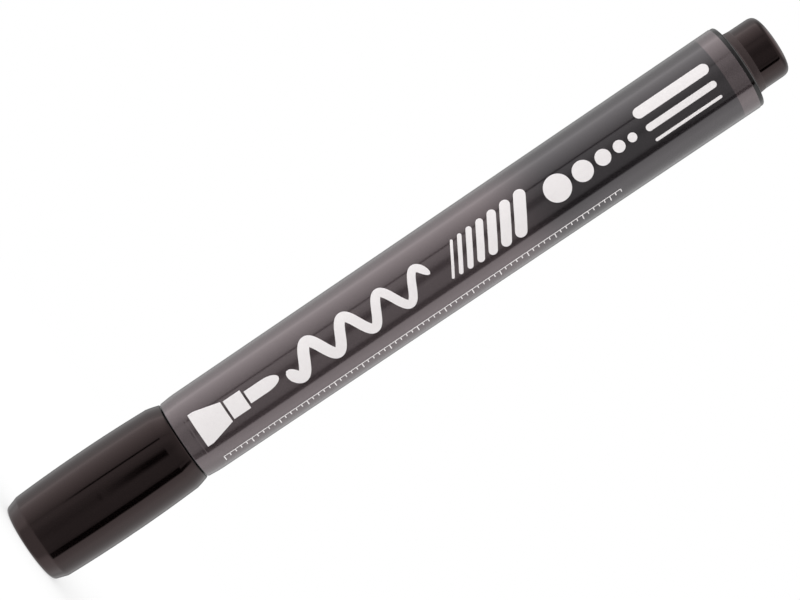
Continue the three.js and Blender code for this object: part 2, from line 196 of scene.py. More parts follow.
def turned(name, section, body, slot, material, closed=True, relief=None):
    """A half-section of radius and height carried round the axis: x = r sin a, y = -r cos a, z = height.
    An open section starts and ends on the axis, where its rings close to one point. relief(radius,
    height, angle) may move points in radius and height, for ribs, grooves and notches."""
    section = np.asarray(section)
    section = supported(np.vstack([section, section[:1]]))[:-1] if closed else supported(section)
    if not closed:
        poles, section = section[[0, -1]], section[1:-1]
    angle = np.arange(SEGMENTS) * 2 * np.pi / SEGMENTS
    ring = np.repeat(section[:, 0][:, None], SEGMENTS, axis=1)
    height = np.repeat(section[:, 1][:, None], SEGMENTS, axis=1)
    if relief:
        ring, height = relief(ring, height, angle[None, :])
    points = np.stack([ring * np.sin(angle), -ring * np.cos(angle), height], axis=-1).reshape(-1, 3)
    rows = len(section)
    faces = [grid_faces(rows, SEGMENTS, closed, True)]
    if not closed:
        first, last = len(points), len(points) + 1
        points = np.vstack([points, [0, 0, poles[0, 1]], [0, 0, poles[1, 1]]])
        j = np.arange(SEGMENTS)
        following = (j + 1) % SEGMENTS
        top = (rows - 1) * SEGMENTS
        faces.append(np.stack([np.full(SEGMENTS, first), following, j], axis=-1))
        faces.append(np.stack([np.full(SEGMENTS, last), top + j, top + following], axis=-1))
    return mesh_piece(name, points, faces, body, slot, material)


def from_nearest(angle, count, first):
    """How far an angle is from the nearest of count evenly spread angles, of which one is first."""
    share = 2 * np.pi / count
    return np.abs((angle - first + share / 2) % share - share / 2)


sample = rounded([(0, 0, 0), (1, 0, 0.2), (1, 1, 0)], False)
print("a square corner, rounded:", sample.round(2).tolist())

# %% [markdown]
# Shader maths could be wired node by node, but it reads best as plain arithmetic. A small class
# holds one socket of a node tree, and adding, subtracting or multiplying two of them adds the Math
# node that does it.

# %% Sockets as numbers
class Value:
    """One output socket of a node tree. Arithmetic on it adds Math nodes."""

    def __init__(self, shader, socket):
        self.shader, self.socket = shader, socket

    def maths(self, operation, *others):
        numbers = dict(enumerate([self, *others]))
        return self.shader.value(0, "ShaderNodeMath", numbers, operation=operation)

    def __add__(self, other):
        return self.maths("ADD", other)

    def __mul__(self, other):
        return self.maths("MULTIPLY", other)

    def __sub__(self, other):
        return self.maths("SUBTRACT", other)


class Shader:
    """A material or world under construction."""

    def __init__(self, owner):
        owner.use_nodes = True
        self.owner, self.tree = owner, owner.node_tree
        self.tree.nodes.clear()

    def connect(self, value, socket):
        if isinstance(value, Value):
            self.tree.links.new(value.socket, socket)
        else:
            socket.default_value = value

    def node(self, kind, inputs=None, **settings):
        """A node of a type, its settings first, then the values or links of its sockets."""
        made = self.tree.nodes.new(kind)
        for key, setting in settings.items():
            setattr(made, key, setting)
        for key, value in (inputs or {}).items():
            self.connect(value, made.inputs[key])
        return made

    def value(self, output, kind, inputs=None, **settings):
        """One output of a new node."""
        return Value(self, self.node(kind, inputs, **settings).outputs[output])

    def place(self):
        """Object coordinates, which stay with the piece."""
        return self.value("Object", "ShaderNodeTexCoord")

    def height(self):
        """The height on the marker in millimetres."""
        return self.value("Z", "ShaderNodeSeparateXYZ", {"Vector": self.place()}) * (1 / MM)

    def stretched(self, along):
        """Object coordinates squeezed along the marker, so that a pattern drawn on them runs along it."""
        inputs = {"Vector": self.place(), "Scale": (1, 1, along)}
        return self.value("Vector", "ShaderNodeMapping", inputs)

    def noise(self, grain_mm, detail=2.0, roughness=0.5, place=None):
        """Smooth random values from 0 to 1, with bumps about grain_mm across."""
        inputs = {"Scale": 1 / (grain_mm * MM), "Detail": detail, "Roughness": roughness}
        inputs["Vector"] = place or self.place()
        return self.value("Fac", "ShaderNodeTexNoise", inputs)

    def ramp(self, value, start, end, low=0.0, high=1.0):
        """A smooth step from low to high as value goes from start to end."""
        inputs = {"Value": value, "From Min": start, "From Max": end, "To Min": low, "To Max": high}
        return self.value("Result", "ShaderNodeMapRange", inputs, interpolation_type="SMOOTHSTEP")

    def near(self, value, middle, full, none):
        """1 where value lies full away from middle, 0 where it lies none away, and smooth between."""
        return self.ramp((value - middle).maths("ABSOLUTE"), none, full)

    def blend(self, amount, first, second):
        """A colour that goes from first to second as amount goes from 0 to 1."""
        inputs = {"Factor": amount, 6: colour(first), 7: colour(second)}
        return self.value(2, "ShaderNodeMix", inputs, data_type="RGBA")

    def bump(self, height, distance_mm):
        """A bent normal from a height in units of distance_mm."""
        inputs = {"Height": height, "Distance": distance_mm * MM, "Strength": 1.0}
        return self.value("Normal", "ShaderNodeBump", inputs)

    def principled(self, **sockets):
        """Ends a material with the surface shader, whose sockets are named by keyword."""
        inputs = {key.replace("_", " "): value for key, value in sockets.items()}
        surface = self.value("BSDF", "ShaderNodeBsdfPrincipled", inputs)
        return self.end("ShaderNodeOutputMaterial", surface)

    def mixed(self, amount, first, second):
        """A surface or light that goes from first to second as amount goes from 0 to 1."""
        return self.value(0, "ShaderNodeMixShader", {"Fac": amount, 1: first, 2: second})

    def end(self, output_kind, surface):
        """Adds the output node and gives back the material or world, which is then complete."""
        self.node(output_kind, {"Surface": surface})
        print(f"{self.owner.name}: {len(self.tree.nodes)} nodes")
        return self.owner


def colour(value):
    """Adds the missing alpha to a plain colour, and leaves a socket as it is."""
    return value if isinstance(value, Value) else (*value, 1.0)


def material(name):
    """The shader of a new, still empty material."""
    return Shader(bpy.data.materials.new(name))


print("a shader can add", ", ".join(name for name in vars(Shader) if not name.startswith("_")))


# %% [markdown]
# ## Black polypropylene
# The cap and the tail plug are injection moulded from black polypropylene in a polished mould.
# The surface is a deep black that mirrors the studio, with a warm tint in what it mirrors head
# on. One flat black with one roughness would look like glass: the plastic shrinks a little as it
# cools, so reflections waver, and handling leaves fine lengthwise rubs. Noise at two scales gives
# both. The plug's foot, the ring next to the barrel, is duller, and its colour is painted paler
# too: a painted sheen for the light it shows in front, where the polished plastic mirrors the
# dark room.

# %% Gloss black for the cap and plug
FOOT_EDGE = BARREL_END + 0.1
PLUG_FOOT = BARREL_END + 1.43


def gloss_black(name, dull_sheen_bottom, dull_sheen_top):
    """Polished black that is duller between two heights in millimetres, where its colour is also painted
    paler as a sheen.
    """
    shader = material(name)
    waver = shader.noise(5.0, detail=1.0)
    grain = shader.noise(0.16, detail=3.0)
    rubs = shader.noise(1.0, detail=4.0, roughness=0.7, place=shader.stretched(0.12))
    height = shader.height()
    # the band where the plastic is duller and its colour is painted paler, a painted sheen
    dull_and_sheen = shader.ramp(height, dull_sheen_top + 0.05, dull_sheen_top - 0.05)
    dull_and_sheen = dull_and_sheen * shader.ramp(height, dull_sheen_bottom - 0.05, dull_sheen_bottom + 0.05)
    polished = shader.blend(rubs, (0.0008, 0.0004, 0.0004), (0.0030, 0.0018, 0.0018))
    return shader.principled(
        # painted sheen: in the dull band the black is lifted to a paler grey that stands in for reflected
        # light
        Base_Color=shader.blend(dull_and_sheen, polished, (0.024, 0.019, 0.019)),
        Roughness=shader.ramp(rubs, 0.35, 0.75, 0.04, 0.10) + dull_and_sheen * 0.36,
        IOR=1.5,
        Specular_Tint=(1.0, 0.74, 0.73, 1.0),
        Normal=shader.bump(waver * 0.009 + grain * 0.0003, 1.0),
    )


GLOSS_BLACK = gloss_black("gloss black polypropylene", -2.0, -1.0)
PLUG_BLACK = gloss_black("plug polypropylene", FOOT_EDGE + 0.05, PLUG_FOOT)

# %% [markdown]
# The barrel is the same plastic with a satin skin. Only its rounded tail edge, its neck and a
# thin ring at the front show past the printed film. A rougher surface alone would look dusty, so
# the roughness stays modest and fine grain breaks up the reflection.

# %% Satin black for the barrel and nib holder
def satin_black():
    shader = material("satin black polypropylene")
    grain = shader.noise(0.12, detail=3.0)
    rubs = shader.noise(0.9, detail=4.0, roughness=0.7, place=shader.stretched(0.2))
    return shader.principled(
        Base_Color=shader.blend(rubs, (0.0020, 0.0015, 0.0015), (0.0045, 0.0035, 0.0035)),
        Roughness=shader.ramp(rubs, 0.3, 0.75, 0.06, 0.13),
        IOR=1.5,
        Normal=shader.bump(grain, 0.002),
    )


SATIN_BLACK = satin_black()

# %% [markdown]
# ## The metallic film
# The barrel's colour is a metallic ink under a clear coat. Close up it is a fine flake, each
# flake tilted a little its own way, so the colour sparkles in a grain finer than a tenth of a
# millimetre. Along the barrel the mauve-grey fades to near black, and stops at a sharp line near
# the tail. An image could carry the fade, but two smooth steps of the height stay sharp at any
# distance, and a little noise added to the height frays the fade as printing does.

# %% The printed film
FADE_START, FADE_END = 84.0, 97.0
DARK_REAR = 126.1


def metallic_film():
    shader = material("metallic printed film")
    height = shader.height()
    mottle = shader.noise(0.13, detail=2.0)
    flake = shader.noise(0.05, detail=1.0)
    dithered = height + (mottle - 0.5) * 5.0
    dark = shader.ramp(dithered, FADE_START, FADE_END) * shader.ramp(height, DARK_REAR + 0.06, DARK_REAR)
    light_ink = shader.blend(mottle, (0.107, 0.083, 0.087), (0.136, 0.108, 0.114))
    dark_ink = shader.blend(mottle, (0.043, 0.037, 0.040), (0.065, 0.057, 0.062))
    return shader.principled(
        Base_Color=shader.blend(dark, light_ink, dark_ink),
        Metallic=shader.ramp(mottle, 0.2, 0.8, 0.60, 0.72) + dark * 0.08,
        Roughness=shader.ramp(flake, 0.25, 0.75, 0.09, 0.20),
        Specular_Tint=(0.5, 0.5, 0.5, 1.0),
        Normal=shader.bump(flake * 0.6 + mottle * 0.4, 0.0015),
        Coat_Weight=1.0,
        Coat_Roughness=0.03,
        Coat_IOR=1.5,
    )


METALLIC_FILM = metallic_film()

# %% [markdown]
# ## White ink
# The motifs are screen printed in a dense white. Plain white would do from afar. A fine noise in
# colour, roughness and height adds the trace that the weave of the screen leaves. The same
# function, with coarser noise, makes the plastics inside the marker.

# %% Screen-printed white
def grained(name, grain_mm, dark, light, roughness, depth_mm, along=None, **sockets):
    """A finish whose colour, roughness and height follow one noise, squeezed by along if it is given."""
    shader = material(name)
    grain = shader.noise(grain_mm, place=shader.stretched(along) if along else None)
    return shader.principled(
        Base_Color=shader.blend(grain, dark, light),
        Roughness=shader.ramp(grain, 0.3, 0.7, *roughness),
        Normal=shader.bump(grain, depth_mm),
        **sockets,
    )


WHITE_INK = grained(
    "screen printed white", 0.14, (0.74, 0.70, 0.70), (0.86, 0.83, 0.83), (0.32, 0.45), 0.004
)

# %% [markdown]
# ## Inner materials
# With the cap off, the waxy natural liner shows inside it, and so does the nib: bonded fibre with
# fine lengthwise strands, stained by the ink. Hair curves could stand for the strands, but at
# this size stretched noise looks the same and costs nothing. The reservoir stays hidden in the
# barrel.

# %% Liner, fibre and clear film
def fibre(name, dark, light, strand_mm):
    shader = material(name)
    strands = shader.noise(strand_mm, detail=3.0, place=shader.stretched(0.06))
    pores = shader.noise(strand_mm * 1.5)
    weave = strands * 0.7 + pores * 0.3
    return shader.principled(
        Base_Color=shader.blend(weave, dark, light),
        Roughness=shader.ramp(pores, 0.3, 0.7, 0.75, 0.95),
        Normal=shader.bump(weave, 0.04),
    )


NATURAL_LINER = grained(
    "natural polyethylene", 2.0, (0.60, 0.58, 0.54), (0.70, 0.68, 0.63), (0.38, 0.5), 0.01,
    Subsurface_Weight=0.25, Subsurface_Radius=(0.0012, 0.0011, 0.0009),
)
NIB_FIBRE = fibre("ink stained nib", (0.006, 0.006, 0.008), (0.032, 0.030, 0.036), 0.09)
CORE_FIBRE = fibre("reservoir fibre", (0.01, 0.01, 0.013), (0.05, 0.048, 0.056), 0.14)
CLEAR_WRAP = grained(
    "reservoir film", 1.5, (0.5, 0.51, 0.53), (0.62, 0.63, 0.65), (0.15, 0.3), 0.02, along=0.15
)

# %% [markdown]
# ## The cap
# A short cone leads from the flat closed end to a body that swells by nearly a third of a
# millimetre at its middle, and a bevel runs in to the mouth. A cylinder with a Subdivision Surface
# would swell too, but its shape could only be guessed at. The crown is a parabola instead, because
# a turned mould swells evenly, and a very faint hollow rings the cap where the liner's flange sits
# inside: thick plastic sinks a little there as it cools.

# %% The cap's shell
CAP_END_RADIUS = 6.45
CAP_CONE_RADIUS, CAP_CONE_TOP = 7.15, 2.15
CAP_BEVEL_RADIUS, CAP_BEVEL_BOTTOM = 7.13, CAP_TOP - 2.15
CAP_SWELL, BEVEL_SWELL = 0.285, 0.04
CAP_MOUTH_RADIUS = 6.55
CAP_BORE = 5.92
CAP_FLOOR = 1.25
LINER_TOP = high("cap_liner")
SINK_DEPTH, SINK_WIDTH = 0.012, 0.45


def bowed(start, end, rise, steps):
    """A parabola between two points: the straight line plus 4 rise t (1 - t)."""
    t = np.linspace(0, 1, steps)
    line = np.outer(1 - t, start) + np.outer(t, end)
    line[:, 0] += 4 * rise * t * (1 - t)
    return line


def cap_section():
    """The closed end up to the mouth outside, then down the guide bore, the liner's seat and the floor."""
    cone_end, bevel_start = (CAP_CONE_RADIUS, CAP_CONE_TOP), (CAP_BEVEL_RADIUS, CAP_BEVEL_BOTTOM)
    crown = bowed(cone_end, bevel_start, CAP_SWELL, 70)
    crown[:, 0] -= SINK_DEPTH * np.exp(-(((crown[:, 1] - LINER_TOP) / SINK_WIDTH) ** 2))
    bevel = bowed(bevel_start, (CAP_MOUTH_RADIUS, CAP_TOP), BEVEL_SWELL, 8)
    outside = rounded([(0, 0, 0), (CAP_END_RADIUS, 0, 0.55), (*cone_end, 0)], False, 9)
    step, seat, inner = CAP_BORE - 0.35, CAP_BORE - 0.22, CAP_BORE - 0.55
    seat_top, seat_bottom = LINER_TOP + 0.02, LINER_TOP - 0.82
    corners = [
        (*bevel[-2], 0),
        (CAP_MOUTH_RADIUS, CAP_TOP, 0.1),
        (CAP_BORE + 0.2, CAP_TOP, 0.06),
        (CAP_BORE, CAP_TOP - 0.22, 0.1),
        *bead(CAP_BORE, SNAP_HEIGHT, 0.65, 0.12, 0.1)[::-1],
        (CAP_BORE, CAP_TOP - 6.6, 0.2),
        (step, CAP_TOP - 6.95, 0.2),
        (step, seat_top, 0.03),
        (seat, seat_top, 0.03),
        (seat, seat_bottom, 0.03),
        (inner, seat_bottom, 0.03),
        (inner, CAP_FLOOR, 0.6),
        (0, CAP_FLOOR, 0),
    ]
    mouth = rounded(corners, False)
    return np.vstack([outside[:-1], crown, bevel[1:-1], mouth[1:]])


cap = turned("cap_shell_moulded", cap_section(), "cap", "gloss_black", GLOSS_BLACK, closed=False)
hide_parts("cap_shell")

# %% [markdown]
# ## The liner
# A thin cup hangs inside the cap from its flange. It is narrow round the nib, so little air is
# shut in, and its lip closes on the holder's cylinder. Only the lip shows from outside, but the
# whole cup is one half-section, so it is as easy to make it all.

# %% The cap's liner
def liner_section():
    """The cup's outside, flange, lip and inside, from floor to floor."""
    base = low("cap_liner")
    floor = base + 0.68
    chest = COLLAR_FRONT - 0.25
    throat = chest - 0.95
    flange, flange_bottom = radius("cap_liner"), LINER_TOP - 0.8
    narrow, narrow_bore = 3.7, 3.0
    wide, wide_bore = 4.65, 3.95
    lip, lip_mouth = 3.74, 4.09
    corners = [
        (0, base, 0),
        (narrow, base, 0.5),
        (narrow, throat, 0.5),
        (wide, chest, 0.5),
        (wide, flange_bottom, 0.15),
        (flange, flange_bottom, 0.08),
        (flange, LINER_TOP, 0.12),
        (lip_mouth, LINER_TOP, 0.12),
        (lip, LINER_TOP - 0.6, 0.12),
        (wide_bore, LINER_TOP - 1.3, 0.2),
        (wide_bore, chest, 0.4),
        (narrow_bore, throat, 0.4),
        (narrow_bore, floor, 0.4),
        (0, floor, 0),
    ]
    return rounded(corners, False)


liner = turned("cap_liner_moulded", liner_section(), "cap", "liner", NATURAL_LINER, closed=False)
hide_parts("cap_liner")

# %% [markdown]
# ## The barrel
# The neck carries a low snap bead for the cap. Behind the square shoulder a short cone opens to a
# long, slight taper. The tail's edge is asked for rounder than its short sides allow, so it comes
# out as round as they let it. Outside and bore are one closed section, so the tube has a true wall
# and needs no Solidify or Boolean. In the bore a groove takes the holder's bead, and four low ribs
# hold the reservoir off the wall so that air can pass. The ribs could be joined on as bars. Here
# the bore's own points move inwards over four bands of angle, which leaves one clean mesh.

# %% The barrel tube
NECK_RADIUS = 5.69
SHOULDER_RADIUS = NECK_RADIUS + 0.8
CREASE_HEIGHT = SHOULDER + 2.12
CREASE_RADIUS = SHOULDER_RADIUS + 0.19
TAPER_END, TAIL_RADIUS = BARREL_END - 0.95, radius("barrel")
TAIL_BORE, TAIL_BORE_FRONT = 5.24, PLUG_FRONT + 2.7
MAIN_BORE = 4.99
NECK_BORE = 4.74
HOLDER_BEAD = NECK_FRONT + 3.18
RIB_FRONT, RIB_REAR, RIB_HALF = HOLDER_REAR + 0.6, PLUG_FRONT + 2.4, 0.4


def barrel_section():
    """Neck, shoulder, cone, taper and round tail outside, then the stepped bore inside."""
    corners = [
        (NECK_BORE + 0.3, NECK_FRONT, 0.05),
        (NECK_RADIUS - 0.3, NECK_FRONT, 0.1),
        (NECK_RADIUS, NECK_FRONT + 0.3, 0.15),
        *bead(NECK_RADIUS, SNAP_HEIGHT, 0.6, 0.17, 0.2),
        (NECK_RADIUS, SHOULDER, 0.12),
        (SHOULDER_RADIUS, SHOULDER, 0.06),
        (CREASE_RADIUS, CREASE_HEIGHT, 0.1),
        (TAIL_RADIUS, TAPER_END, 0.02),
        (TAIL_RADIUS, BARREL_END - 0.13, 1.0),
        (TAIL_BORE + 0.2, BARREL_END, 0.05),
        (TAIL_BORE, BARREL_END - 0.2, 0.05),
        (TAIL_BORE, TAIL_BORE_FRONT, 0.05),
        (MAIN_BORE + 0.1, TAIL_BORE_FRONT, 0.05),
        (MAIN_BORE + 0.1, RIB_REAR, 0),
        (MAIN_BORE, RIB_FRONT, 0),
        (NECK_BORE, HOLDER_REAR + 0.3, 0.1),
        *bead(NECK_BORE, HOLDER_BEAD, 0.33, 0.19, 0.05)[::-1],
        (NECK_BORE, NECK_FRONT + 0.3, 0.05),
    ]
    return rounded(corners, True, 9)


def bore_ribs(ring, height, angle):
    """Brings the main bore in to the neck's bore over four bands of angle."""
    in_rib = from_nearest(angle, 4, np.pi / 4) * MAIN_BORE < RIB_HALF
    in_bore = (ring < TAIL_BORE - 0.1) & (height > RIB_FRONT + 0.01) & (height < RIB_REAR - 0.01)
    return np.where(in_rib & in_bore, NECK_BORE, ring), height


barrel = turned(
    "barrel_moulded", barrel_section(), "marker", "barrel_black", SATIN_BLACK, relief=bore_ribs
)
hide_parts("barrel")

# %% [markdown]
# ## The film round the barrel
# The film is a skin seven hundredths of a millimetre thick. It could be a second material on the
# barrel, but a closed solid with an outside, an inside and two thin edges catches a line of light
# at its ends. Where it bends over the front cone it is drawn tight, which leaves a score line a
# fortieth of a millimetre deep.

# %% The label film
FILM = 0.07
FILM_GAP = 0.01
FILM_END = FILM_REAR + 0.2
SCORE_DEPTH, SCORE_WIDTH = 0.025, 0.13


def barrel_radius(z):
    """The bare barrel's radius: a short steep cone, then a long taper."""
    heights = [SHOULDER, CREASE_HEIGHT, TAPER_END]
    return np.interp(z, heights, [SHOULDER_RADIUS, CREASE_RADIUS, TAIL_RADIUS])


def film_radius(z):
    """The film's outer radius at a height."""
    return barrel_radius(z) + FILM_GAP + FILM


def film_section():
    """Up the outside of the film, through the score line, a bell curve of height, and down its inside."""
    heights = np.concatenate([[FILM_FRONT], CREASE_HEIGHT + np.linspace(-0.5, 0.5, 21), [FILM_END]])
    score = SCORE_DEPTH * np.exp(-(((heights - CREASE_HEIGHT) / SCORE_WIDTH) ** 2))
    sizes = np.where((heights == heights[0]) | (heights == heights[-1]), 0.03, 0)
    up = np.stack([film_radius(heights) - score, heights, sizes], axis=-1)
    ends = np.array([heights[-1], CREASE_HEIGHT, FILM_FRONT])
    down = np.stack([barrel_radius(ends) + FILM_GAP, ends, 0 * ends], axis=-1)
    return rounded(np.vstack([up, down]), True)


film = turned("label_film_printed", film_section(), "marker", "label_film", METALLIC_FILM)
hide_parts("label_film")

# %% [markdown]
# ## The nib holder and nib
# The holder is the black front section: a collar, a cylinder that the liner seals on, a cone and
# a thin flange against the neck. Four small grooves round the nib let air back into the barrel,
# and six ribs behind them grip it. The plug behind the flange snaps into the neck's groove with a
# bead, and four notches let its skirt spring. Booleans could cut and join all of them. Moving the
# section's own points over bands of angle, in radius or in height, leaves a cleaner mesh.

# %% The nib holder
NIB_RADIUS = radius("nib")
LAND = NIB_RADIUS + 0.04
LAND_BACK = COLLAR_FRONT + 1.2
RIBS_BACK = COLLAR_FRONT + 8.15
HOLDER_CYLINDER = 3.7
HOLDER_BORE = NIB_RADIUS + 0.5
FLANGE_BACK = NECK_FRONT - 0.02
FLANGE_FRONT = FLANGE_BACK - 0.7
SKIRT, SKIRT_BORE = NECK_BORE - 0.03, NECK_BORE - 0.88
GROOVE_HALF, GROOVE_EDGE, GROOVE_DEPTH = 0.16, 0.03, 0.4
GRIP_HALF, NOTCH_HALF = 0.25, 0.7
NOTCH_BACK, NOTCH_SQUASH = HOLDER_REAR - 2.0, 0.2


def holder_section():
    """Collar, cylinder, cone and flange outside, then the plug's skirt, and the nib's bore inside."""
    collar, collar_back = HOLDER_CYLINDER - 0.1, COLLAR_FRONT + 1.9
    flange = radius("nib_holder")
    corners = [
        (LAND, COLLAR_FRONT, 0.06),
        (collar - 0.35, COLLAR_FRONT, 0.15),
        (collar, COLLAR_FRONT + 0.35, 0.2),
        (collar, collar_back, 0.04),
        (HOLDER_CYLINDER, collar_back + 0.1, 0.06),
        (HOLDER_CYLINDER, collar_back + 5.3, 0.4),
        (flange - 0.15, FLANGE_FRONT, 0.05),
        (flange, FLANGE_FRONT, 0.06),
        (flange, FLANGE_BACK, 0.08),
        (SKIRT, FLANGE_BACK, 0.02),
        *bead(SKIRT, HOLDER_BEAD, 0.28, 0.14, 0.05),
        (SKIRT, HOLDER_REAR - 0.4, 0.1),
        (SKIRT - 0.4, HOLDER_REAR, 0.1),
        (SKIRT_BORE, HOLDER_REAR, 0.05),
        (SKIRT_BORE, FLANGE_FRONT, 0.2),
        (HOLDER_BORE, FLANGE_FRONT - 1.1, 0.2),
        (HOLDER_BORE, RIBS_BACK, 0),
        (HOLDER_BORE, LAND_BACK, 0),
        (LAND, LAND_BACK, 0),
    ]
    return rounded(corners, True)


def grooves_ribs_notches(ring, height, angle):
    """Widens the land in four grooves, brings the bore behind it in to the land's radius in six ribs, and
    presses the skirt's end forward in four notches."""
    in_groove = np.clip((GROOVE_HALF - from_nearest(angle, 4, np.pi / 12)) / GROOVE_EDGE, 0, 1)
    on_land = ring < LAND + 0.08
    in_rib = from_nearest(angle, 6, np.pi / 6) * HOLDER_BORE < GRIP_HALF
    in_bore = ~on_land & (ring < HOLDER_BORE + 0.01) & (height < RIBS_BACK - 0.01)
    in_notch = from_nearest(angle, 4, 0) * NECK_BORE < NOTCH_HALF
    pressed = NOTCH_BACK + (height - NOTCH_BACK) * NOTCH_SQUASH
    ring = np.where(in_rib & in_bore, LAND + 0.02, ring + GROOVE_DEPTH * in_groove * on_land)
    return ring, np.where(in_notch & (height > NOTCH_BACK), pressed, height)


holder = turned(
    "nib_holder_moulded", holder_section(), "marker", "barrel_black", SATIN_BLACK,
    relief=grooves_ribs_notches,
)
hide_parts("nib_holder")

# %% [markdown]
# The nib is a rod of bonded fibre, ground to a bullet. A half sphere would look too blunt: the
# ground tip is close to half an ellipse, so its section is one. The strands along it are left to
# the material's stretched noise.

# %% The nib
TIP_LENGTH, TIP_FLAT = 3.6, 0.3
NIB_REAR, NIB_REAR_TAPER, NIB_REAR_RADIUS = high("nib"), 6.0, 1.3


def nib_section():
    """The ground tip: radius R cos a at a height of length (1 - sin a / sin of the first a), where R cos
    of the first a is the tip's small flat. Then the rod and its taper."""
    a = np.linspace(math.acos(TIP_FLAT / NIB_RADIUS), 0, 28)
    height = NIB_TIP + TIP_LENGTH * (1 - np.sin(a) / np.sin(a[0]))
    tip = np.stack([NIB_RADIUS * np.cos(a), height], axis=-1)
    rod = [(NIB_RADIUS, NIB_REAR - NIB_REAR_TAPER), (NIB_REAR_RADIUS, NIB_REAR), (0, NIB_REAR)]
    return np.vstack([[(0, NIB_TIP)], tip, rod])


nib = turned("nib_ground", nib_section(), "marker", "nib_fibre", NIB_FIBRE, closed=False)
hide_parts("nib")

# %% [markdown]
# ## The tail plug
# The stopper is pressed into the tail and stands six millimetres out of it. Its foot flares by a
# quarter of a millimetre over the mouth of the bore. A thin bevel round the flare leans upwards
# enough to mirror the ceiling, so a bright line rings the foot. Two low beads on the hidden skirt
# grip the barrel. It is turned like the rest, as one open section that starts and ends on the axis.

# %% The plug
FOOT_FLARE = 0.25
FOOT_BOTTOM = BARREL_END + 0.02
HOLLOW_TOP = PLUG_END - 1.3


def plug_section():
    """The hollow inside, then the skirt and its beads, the flared foot and the rounded end outside."""
    plug = radius("tail_plug")
    skirt = plug - 0.15
    skirt_bore = skirt - 0.95
    skirt_front = BARREL_END - 8.5
    corners = [
        (0, HOLLOW_TOP, 0),
        (skirt_bore, HOLLOW_TOP, 0.3),
        (skirt_bore, skirt_front, 0.05),
        (skirt - 0.35, skirt_front, 0.1),
        (skirt, skirt_front + 0.35, 0.1),
        *bead(skirt, skirt_front + 2.5, 0.45, 0.15, 0.1),
        *bead(skirt, skirt_front + 5.0, 0.45, 0.15, 0.1),
        (skirt, BARREL_END - 1.15, 0.05),
        (plug, BARREL_END - 1.0, 0.05),
        (plug, FOOT_BOTTOM, 0),
        (plug + FOOT_FLARE, FOOT_BOTTOM, 0.04),
        (plug + FOOT_FLARE, FOOT_EDGE, 0.05),
        (plug + 0.14, FOOT_EDGE + 0.2, 0.05),
        (plug - 0.01, PLUG_FOOT, 0.1),
        (plug - 0.04, PLUG_END, 1.4),
        (0, PLUG_END, 0),
    ]
    return rounded(corners, False, 12)


plug = turned("tail_plug_moulded", plug_section(), "marker", "gloss_black", PLUG_BLACK, closed=False)
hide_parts("tail_plug")

# %% [markdown]
# Inside the plug stands a cross that reaches in to hold the reservoir. It is moulded with the plug
# and never shows while the marker is whole, but whoever takes the marker apart would miss it. Two
# crossing boxes would do. One plus sign, carried along the axis, has no faces inside it.

# %% The plug's inner cross
CROSS_ARM = radius("tail_plug") - 0.8
CROSS_HALF = 0.45


def plug_cross():
    """The twelve corners of a plus sign at two heights, capped by a middle square and four arms."""
    a, h = CROSS_ARM, CROSS_HALF
    quarter = np.array([(h, a), (-h, a), (-h, h)])
    turns = [np.array([(1, 0), (0, 1)]), np.array([(0, 1), (-1, 0)])]
    turns += [-turns[0], -turns[1]]
    plus = np.vstack([quarter @ turned_by for turned_by in turns])
    low_corners = np.column_stack([plus, np.full(12, PLUG_FRONT)])
    high_corners = np.column_stack([plus, np.full(12, PLUG_END - 0.9)])
    cap = np.array([(11, 2, 5, 8), (0, 1, 2, 11), (3, 4, 5, 2), (6, 7, 8, 5), (9, 10, 11, 8)])
    i = np.arange(12)
    following = (i + 1) % 12
    walls = np.stack([i, following, following + 12, i + 12], axis=-1)
    return np.vstack([low_corners, high_corners]), [walls, cap[:, ::-1], cap + 12]


cross = mesh_piece("tail_plug_cross", *plug_cross(), "marker", "gloss_black", PLUG_BLACK)
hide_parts("tail_plug")

# %% [markdown]
# The reservoir and its wrap never show, and their solids are already the right shape. New meshes
# would add nothing to them, so they stay as they are and only get their materials.

# %% Materials on the pieces that stay
for node, finish in (("reservoir_core", CORE_FIBRE), ("reservoir_wrap", CLEAR_WRAP)):
    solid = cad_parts[node]
    if not solid.material_slots:
        solid.data.materials.append(finish)
    for place in solid.material_slots:
        place.material = finish

# %% [markdown]
# ## The printed motifs
# The print is generic: a nib drawing a wave, slanted bars that grow in weight, dots, three line
# weights and a plain scale of ticks. It could be painted as an image, which would blur close up.
# Here every motif is a stroke instead, a path with a half width at each point, as a pen makes it.
# A stroke is worked out flat, as millimetres along and across the barrel, then wrapped onto the
# film and given a thickness of two hundredths of a millimetre.

# %% Strokes wrapped onto the film
INK = 0.02
INK_GAP = 0.003


def wrapped(along, across, lift):
    """Flat millimetres onto the barrel: the angle is across divided by the radius at that height."""
    r = film_radius(along) + lift
    angle = across / r
    return np.stack([r * np.sin(angle), -r * np.cos(angle), along], axis=-1)


def stroke(path, half_width, columns=9):
    """Points on each side of a path, at its normal times the half width, as a closed thin slab."""
    path = np.asarray(path, dtype=float)
    step = np.gradient(path, axis=0)
    step /= np.linalg.norm(step, axis=1)[:, None]
    normal = np.stack([-step[:, 1], step[:, 0]], axis=-1)
    side = np.linspace(-1, 1, columns)[None, :, None]
    half = np.broadcast_to(half_width, (len(path),))[:, None, None]
    flat = path[:, None, :] + normal[:, None, :] * side * half
    return slab(flat)


def slab(flat):
    """A flat grid of along and across values as a thin closed solid on the film."""
    rows, columns = flat.shape[:2]
    top = wrapped(flat[..., 0], flat[..., 1], INK_GAP + INK).reshape(-1, 3)
    bottom = wrapped(flat[..., 0], flat[..., 1], INK_GAP).reshape(-1, 3)
    count = rows * columns
    upper = grid_faces(rows, columns, False, False)
    index = np.arange(count).reshape(rows, columns)
    rim = np.concatenate([index[0], index[1:, -1], index[-1, -2::-1], index[-2:0:-1, 0]])
    following = np.roll(rim, -1)
    wall = np.stack([rim, rim + count, following + count, following], axis=-1)
    return np.vstack([top, bottom]), [upper, upper[:, ::-1] + count, wall]


